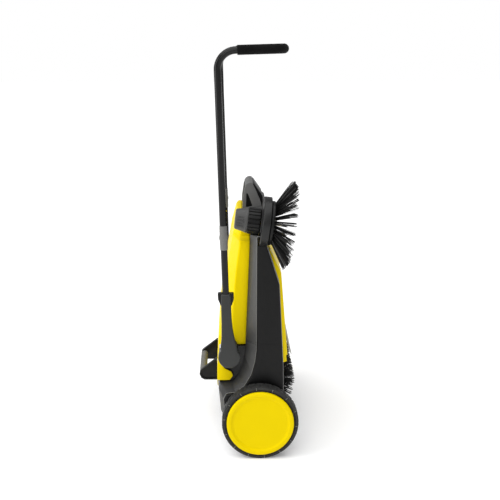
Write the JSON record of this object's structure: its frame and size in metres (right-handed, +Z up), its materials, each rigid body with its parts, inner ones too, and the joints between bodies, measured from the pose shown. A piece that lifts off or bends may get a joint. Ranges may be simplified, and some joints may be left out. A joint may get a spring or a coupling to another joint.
{
  "type": "walk behind sweeper",
  "caption": "Manual push sweeper parked upright, with a main roller, one side brush with height knob, a lift-out waste container and a folding U handle.",
  "frame": {"origin": "middle of the parking foot's flat underside, on the floor, midway between the wheels and directly below their axle", "axes": "+Z up, which is the machine's forward direction; +X towards the machine's underside, the side with the brushes; -Y to the machine's right, the side with the side brush"},
  "size_m": [0.3311, 0.787, 1.3235],
  "materials": {
    "yellow_plastic": "satin",
    "black_plastic": "satin",
    "frame_plastic": "satin",
    "grey_plastic": "satin",
    "tube_paint": "gloss",
    "steel": "satin",
    "tyre": "matte",
    "rubber": "matte",
    "bristles": "matte",
    "foam": "matte"
  },
  "bodies": {
    "chassis": {"side_frame_right": "frame_plastic", "side_frame_left": "frame_plastic", "side_cover_right": "black_plastic", "side_cover_left": "black_plastic", "rear_housing": "black_plastic", "front_cross_member": "black_plastic", "carry_handle": "frame_plastic", "parking_foot": "black_plastic", "rear_seal": "rubber", "brush_drum": "black_plastic", "axle_right": "steel", "axle_left": "steel", "handle_pin_right": "steel", "handle_pin_left": "steel", "roller_bearing_right": "grey_plastic", "roller_bearing_left": "grey_plastic", "drive_belt": "rubber"},
    "wheel_right": {"hub_cap_right": "yellow_plastic", "wheel_hub_right": "black_plastic", "tyre_right": "tyre", "wheel_bush_right": "grey_plastic", "drive_gear": "grey_plastic", "wheel_pulley": "grey_plastic"},
    "wheel_left": {"hub_cap_left": "yellow_plastic", "wheel_hub_left": "black_plastic", "tyre_left": "tyre", "wheel_bush_left": "grey_plastic"},
    "roller": {"roller_core": "grey_plastic", "roller_bristles": "bristles", "roller_gear": "grey_plastic"},
    "brush_carrier": {"brush_spindle": "steel", "spindle_nut": "grey_plastic"},
    "side_brush": {"brush_hub": "black_plastic", "brush_bristles": "bristles", "brush_pulley": "grey_plastic"},
    "adjuster": {"adjuster_cap": "grey_plastic", "adjuster_ring": "black_plastic"},
    "container": {"container_hood": "yellow_plastic", "container_tub": "yellow_plastic", "container_lip": "rubber", "container_yoke": "black_plastic", "container_grip": "black_plastic"},
    "push_handle": {"handle_arm_right": "black_plastic", "handle_arm_left": "black_plastic", "handle_collar_right": "black_plastic", "handle_collar_left": "black_plastic", "handle_lower_tube_right": "tube_paint", "handle_lower_tube_left": "tube_paint", "handle_sleeve_right": "grey_plastic", "handle_sleeve_left": "grey_plastic", "handle_upper_tube": "tube_paint", "handle_grip": "foam"},
    "button_right": {"snap_button_right": "yellow_plastic"},
    "button_left": {"snap_button_left": "yellow_plastic"}
  },
  "joints": [
    {"name": "wheel_right_spin", "type": "hinge", "parent": "chassis", "child": "wheel_right", "pos_m": [0, 0, 0.125], "axis": [0, 1, 0], "continuous": true},
    {"name": "wheel_left_spin", "type": "hinge", "parent": "chassis", "child": "wheel_left", "pos_m": [0, 0, 0.125], "axis": [0, 1, 0], "continuous": true},
    {"name": "roller_spin", "type": "hinge", "parent": "chassis", "child": "roller", "pos_m": [0.01, 0, 0.215], "axis": [0, 1, 0], "continuous": true},
    {"name": "adjuster_turn", "type": "hinge", "parent": "chassis", "child": "adjuster", "pos_m": [0.042, -0.262, 0.768], "axis": [0.9919, 0, -0.1271], "range_deg": [0, 270]},
    {"name": "carrier_lift", "type": "slide", "parent": "chassis", "child": "brush_carrier", "axis": [0.9919, 0, -0.1271], "range_m": [0, 0.008]},
    {"name": "side_brush_spin", "type": "hinge", "parent": "brush_carrier", "child": "side_brush", "pos_m": [0.042, -0.262, 0.768], "axis": [0.9919, 0, -0.1271], "continuous": true},
    {"name": "handle_fold", "type": "hinge", "parent": "chassis", "child": "push_handle", "pos_m": [-0.1, 0, 0.35], "axis": [0, 1, 0], "range_deg": [-125, 0]},
    {"name": "button_right_press", "type": "slide", "parent": "push_handle", "child": "button_right", "axis": [0, -1, 0], "range_m": [0, 0.003], "stiffness_N_per_m": 800, "springref_m": -0.002},
    {"name": "button_left_press", "type": "slide", "parent": "push_handle", "child": "button_left", "axis": [0, 1, 0], "range_m": [0, 0.003], "stiffness_N_per_m": 800, "springref_m": -0.002},
    {"name": "container_lift", "type": "slide", "parent": "chassis", "child": "container", "axis": [-0.9397, 0, 0.342], "range_m": [0, 0.25]}
  ],
  "couplings": [
    {"joint": "roller_spin", "follows": "wheel_right_spin", "ratio": -2},
    {"joint": "side_brush_spin", "follows": "wheel_right_spin", "ratio": -1.875},
    {"joint": "carrier_lift", "follows": "adjuster_turn", "m_per_rad": 0.0016976}
  ]
}
